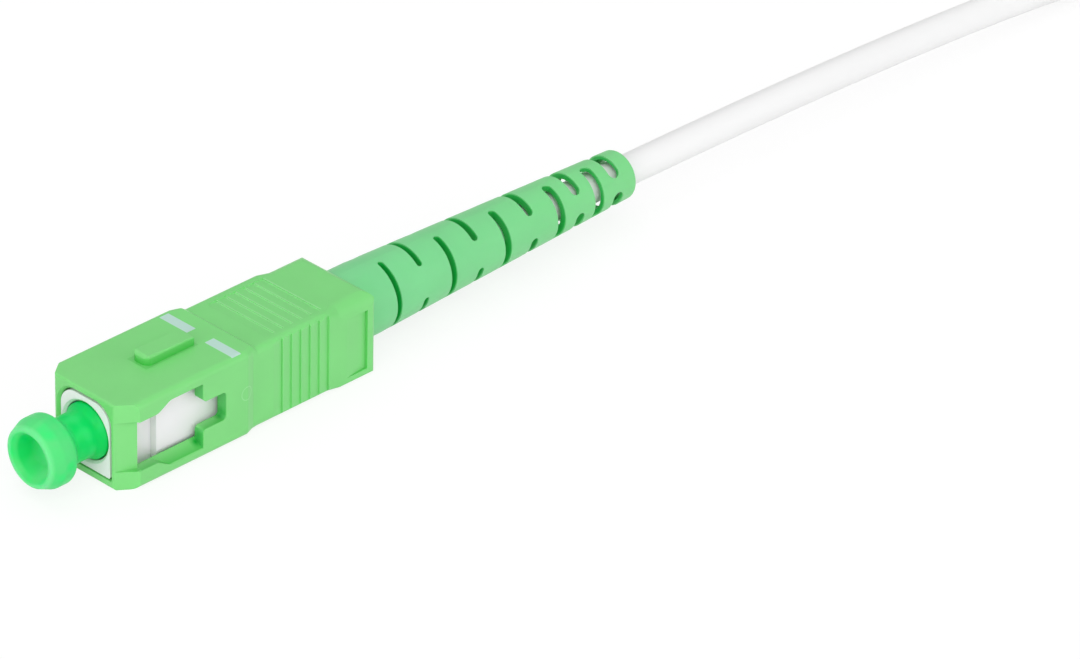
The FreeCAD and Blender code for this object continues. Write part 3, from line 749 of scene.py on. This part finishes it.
def boot_material():
    material, tree, shader = start_material(
        "green_boot", 0.45, IOR=1.48, Subsurface_Weight=0.2,
        Subsurface_Radius=(0.2, 1.0, 0.35), Subsurface_Scale=0.0009)
    place, skin = add_moulded(tree, shader, 0.44, flow=0.12, grain=0.8, bump=0.08)
    x, y, z = object_axes(tree, place)
    low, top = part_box("strain_relief_boot")
    surface = ramp(tree, x, *(v * MM for v in BOOT_TAPER + BOOT_RADII))
    depth = maths(tree, "SUBTRACT", surface, from_axis(tree, y, z))
    deep = maths(tree, "MULTIPLY", range_mask(tree, depth, 0.05, 5, 0.12),
                 range_mask(tree, x, 20, 56.2, 0.2))
    along = ramp(tree, x, low.x + BOOT_PLAIN * MM, top.x)
    face = blend_colors(tree, along, *FACE_GREENS)
    wall = blend_colors(tree, along, *SLOT_GREENS)
    tree.links.new(blend_colors(tree, deep, tinted(tree, skin, face), wall),
                   shader.inputs["Base Color"])
    return material


finish_node(boot_material(), "strain_relief_boot")

# %% [markdown]
# ## Dust cap
#
# The cap is soft, milky and strongly coloured. Light scatters far inside it, so its thick neck
# is a deep saturated green, and its thin rim is paler. Subsurface scattering does most of the
# work, and colour painted by place does the rest: the bulb is painted paler than the neck, the
# rim gets a painted highlight, and the hollow in its end is painted lighter, with painted shade
# deepest on its far side. The pigment itself is a little cloudy.

# %% Cap material
BULB_TO_NECK = (-3.6, -2.2)
BULB_GREEN, NECK_GREEN = (0.1, 0.7, 0.22), (0.0, 0.7, 0.13)
CLOUD_GREEN, CLOUD_SCALE = (0.03, 0.76, 0.19), 620.0
RIM_HIGHLIGHT_GREEN, RIM_X, RIM_R = (0.16, 0.74, 0.28), (-6, -5.25), (2.05, 2.8)
HOLLOW_X, HOLLOW_R = (-5.55, -3.0), (-1, 2.05)
HOLLOW_LIT_GREEN, HOLLOW_SHADE_GREEN = (0.17, 0.82, 0.32), (0.0, 0.64, 0.12)
HOLLOW_LIT_SHARE = 0.7


def cap_material():
    material, tree, shader = start_material(
        "cap_green", 0.38, IOR=1.45, Specular_IOR_Level=0.2, Subsurface_Weight=0.65,
        Subsurface_Radius=(0.15, 1.0, 0.35), Subsurface_Scale=0.0014)
    place = add_moulded(tree, shader, 0.38, flow=0.2, grain=0.2, bump=0.05)[0]
    x, y, z = object_axes(tree, place)
    # Painted light: the bulb is paler than the neck.
    neck = ramp(tree, x, *(v * MM for v in BULB_TO_NECK))
    color = blend_colors(tree, neck, BULB_GREEN, NECK_GREEN)
    noise = add_node(tree, "ShaderNodeTexNoise", {"Scale": CLOUD_SCALE, "Detail": 1.0})
    tree.links.new(place, noise.inputs["Vector"])
    clouds = ramp(tree, noise.outputs["Fac"], 0.42, 0.64, 0.0, 0.8)
    color = blend_colors(tree, clouds, color, CLOUD_GREEN)
    radius = from_axis(tree, y, z)
    # A painted highlight on the rim.
    rim = box_mask(tree, (x, radius), (RIM_X, RIM_R), 0.25)
    color = blend_colors(tree, rim, color, RIM_HIGHLIGHT_GREEN)
    # The hollow is painted lighter, and painted shade is deepest on its far side.
    hollow = box_mask(tree, (x, radius), (HOLLOW_X, HOLLOW_R), 0.35)
    pale = maths(tree, "MULTIPLY", hollow, HOLLOW_LIT_SHARE)
    color = blend_colors(tree, pale, color, HOLLOW_LIT_GREEN)
    far_side = ramp(tree, y, -1.0 * MM, 1.2 * MM, 0.05, 1.0)
    deep = maths(tree, "MULTIPLY", hollow, far_side)
    tree.links.new(blend_colors(tree, deep, color, HOLLOW_SHADE_GREEN), shader.inputs["Base Color"])
    return material


finish_node(cap_material(), "dust_cap")

# %% [markdown]
# ## White plastic and the cable's jacket
#
# The inner frame is white engineering plastic with a satin mould finish. The jacket is extruded,
# so its only texture is a faint unevenness drawn out along the cable.

# %% White materials
def white_plastic(name, color, roughness):
    material, tree, shader = start_material(
        name, roughness, IOR=1.5, Subsurface_Weight=0.1,
        Subsurface_Radius=(1.0, 0.9, 0.8), Subsurface_Scale=0.0006)
    skin = add_moulded(tree, shader, roughness, flow=0.1, grain=0.4, bump=0.05)[1]
    tree.links.new(tinted(tree, skin, color), shader.inputs["Base Color"])
    return material


def jacket_material():
    material, tree, shader = start_material("jacket_white", 0.4, IOR=1.48)
    skin = add_moulded(tree, shader, 0.42, flow=0.15, grain=0.6, bump=0.05,
                       scale=(0.04, 1.0, 1.0))[1]
    tree.links.new(tinted(tree, skin, (0.9, 0.9, 0.9)), shader.inputs["Base Color"])
    return material


finish_node(white_plastic("frame_white", (0.93, 0.88, 0.94), 0.35), "plug_frame", "guide_tube")
finish_node(white_plastic("buffer_white", (0.9, 0.89, 0.86), 0.4), "tight_buffer")
cable.data.materials.append(jacket_material())

# %% [markdown]
# ## Metal, ceramic, glass and yarn inside
#
# These pieces show when the cap is off or the connector is taken apart. The ferrule is polished
# zirconia. The flange and the rear body are turned and plated, so their roughness has fine
# rings about the axis. The yarns are golden aramid.

# %% Inner materials
def turned_metal(name, color, roughness):
    material, tree, shader = start_material(name, roughness, Metallic=1.0, Base_Color=color)
    rings = add_node(tree, "ShaderNodeTexNoise", {"Scale": 5000.0, "Detail": 2.0})
    tree.links.new(object_place(tree, (1.0, 0.03, 0.03)), rings.inputs["Vector"])
    spread = ramp(tree, rings.outputs["Fac"], 0.0, 1.0, roughness - 0.06, roughness + 0.1)
    tree.links.new(spread, shader.inputs["Roughness"])
    add_relief(tree, shader, rings.outputs["Fac"], 0.1, 0.03 * MM)
    return material


def yarn_material():
    material, tree, shader = start_material("aramid_gold", 0.7, Sheen_Weight=0.3)
    fibres = add_node(tree, "ShaderNodeTexNoise", {"Scale": 9000.0, "Detail": 4.0})
    tree.links.new(object_place(tree, (0.03, 1.0, 1.0)), fibres.inputs["Vector"])
    gold = blend_colors(tree, fibres.outputs["Fac"], (0.5, 0.33, 0.07), (0.9, 0.7, 0.25))
    tree.links.new(gold, shader.inputs["Base Color"])
    add_relief(tree, shader, fibres.outputs["Fac"], 0.5)
    return material


def glass_material():
    return start_material("fibre_glass", 0.02, IOR=1.46, Transmission_Weight=1.0,
                          Base_Color=(0.95, 0.98, 1, 1))[0]


finish_node(white_plastic("zirconia_white", (0.88, 0.87, 0.84), 0.12), "ferrule")
finish_node(turned_metal("nickel", (0.66, 0.64, 0.6, 1), 0.25), "ferrule_flange", "rear_body")
spring.data.materials.append(turned_metal("spring_wire", (0.5, 0.5, 0.5, 1), 0.3))
finish_node(turned_metal("crimp_aluminium", (0.78, 0.78, 0.79, 1), 0.32), "crimp_sleeve")
finish_node(yarn_material(), "aramid_yarn")
finish_node(glass_material(), "optical_fibre")

# %% [markdown]
# ## Hook-and-loop strip
#
# The tape's outside is a mat of fine loops, so it has no gloss of its own and looks a little
# lighter at a flat angle. Two scales of noise stand for the loops, and sheen for their edge.

# %% Tie material
def tie_material():
    material, tree, shader = start_material(
        "tie_loops", 0.85, Sheen_Weight=0.4, Sheen_Roughness=0.5)
    place = object_place(tree)
    loops = add_node(tree, "ShaderNodeTexVoronoi", {"Scale": 3500.0})
    tufts = add_node(tree, "ShaderNodeTexNoise", {"Scale": 1200.0, "Detail": 4.0})
    for texture in (loops, tufts):
        tree.links.new(place, texture.inputs["Vector"])
    mat = blend_colors(tree, tufts.outputs["Fac"], (0.012, 0.012, 0.013), (0.05, 0.05, 0.053))
    tree.links.new(mat, shader.inputs["Base Color"])
    add_relief(tree, shader, loops.outputs["Distance"], 0.6)
    return material


tie.data.materials.append(tie_material())
print("new pieces' finishes:", [piece.data.materials[0].name for piece in (cable, spring, tie)])

# %% [markdown]
# ## Floor, world and lamps
#
# A pale floor carries a soft shadow. To the camera it is nearly white, because most of what the
# camera sees of it is a plain white glow, and the lit surface is mixed in for the shadow. The
# lamps are large and soft, as over a product table, and weak enough that a colour renders about
# as it is written.

# %% Stage
FLOOR_Z = cad_low.z
FLOOR_SIZE = 8
FLOOR_GLOW = 1.04
SHADOW_SHARE = 0.2
WORLD_LIGHT = 0.5
AIM = Vector((20.0 * MM, 0, 0))


def white_floor():
    """A floor that takes the shadow, and looks white to the camera, to metal and to glass."""
    bpy.ops.object.select_all(action="DESELECT")
    bpy.ops.mesh.primitive_plane_add(size=FLOOR_SIZE, location=(0, 0, FLOOR_Z))
    floor = bpy.context.object
    floor.name = "floor"
    floor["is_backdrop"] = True
    material, tree, shader = start_material(
        "floor_white", 0.9, Base_Color=(0.92, 0.92, 0.92, 1), Specular_IOR_Level=0.1)
    glow = add_node(tree, "ShaderNodeEmission", {"Color": (1, 1, 1, 1), "Strength": FLOOR_GLOW})
    rays = add_node(tree, "ShaderNodeLightPath")
    seen = union(tree, [rays.outputs[f"Is {kind} Ray"]
                        for kind in ("Camera", "Transmission", "Glossy")])
    mix = add_node(tree, "ShaderNodeMixShader")
    tree.links.new(maths(tree, "MULTIPLY", seen, 1 - SHADOW_SHARE), mix.inputs["Fac"])
    tree.links.new(shader.outputs["BSDF"], mix.inputs[1])
    tree.links.new(glow.outputs["Emission"], mix.inputs[2])
    tree.links.new(mix.outputs["Shader"], tree.nodes["Material Output"].inputs["Surface"])
    floor.data.materials.append(material)


def white_world():
    """Soft light from all round, and plain white to the camera beyond the floor's edge."""
    world = bpy.data.worlds.new("studio")
    world.use_nodes = True
    tree = world.node_tree
    background = tree.nodes["Background"]
    background.inputs["Color"].default_value = (1, 1, 1, 1)
    rays = add_node(tree, "ShaderNodeLightPath")
    strength = maths(tree, "MULTIPLY_ADD", rays.outputs["Is Camera Ray"], 1 - WORLD_LIGHT,
                     WORLD_LIGHT)
    tree.links.new(strength, background.inputs["Strength"])
    return world


def soft_lamp(name, place, size, power):
    """A square area lamp aimed at the middle of the connector."""
    data = bpy.data.lights.new(name, "AREA")
    data.size = size
    data.energy = power
    lamp = bpy.data.objects.new(name, data)
    bpy.context.scene.collection.objects.link(lamp)
    spot = Vector(place)
    turn = (AIM - spot).to_track_quat("-Z", "Y")
    lamp.matrix_world = Matrix.Translation(spot) @ turn.to_matrix().to_4x4()


white_floor()
soft_lamp("key", (-0.45, -0.55, 0.75), 0.7, 3.4)
soft_lamp("front", (-0.75, -0.15, 0.25), 0.5, 1.8)
soft_lamp("near", (0.35, -0.9, 0.3), 0.6, 1.6)
soft_lamp("top", (0.1, 0.25, 0.9), 0.8, 1.8)
bpy.context.scene.world = white_world()
bpy.context.scene.view_settings.view_transform = "Standard"

# %% Finish
visual_low, visual_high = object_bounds()
print("visual model, mm:", in_mm(visual_low), in_mm(visual_high))
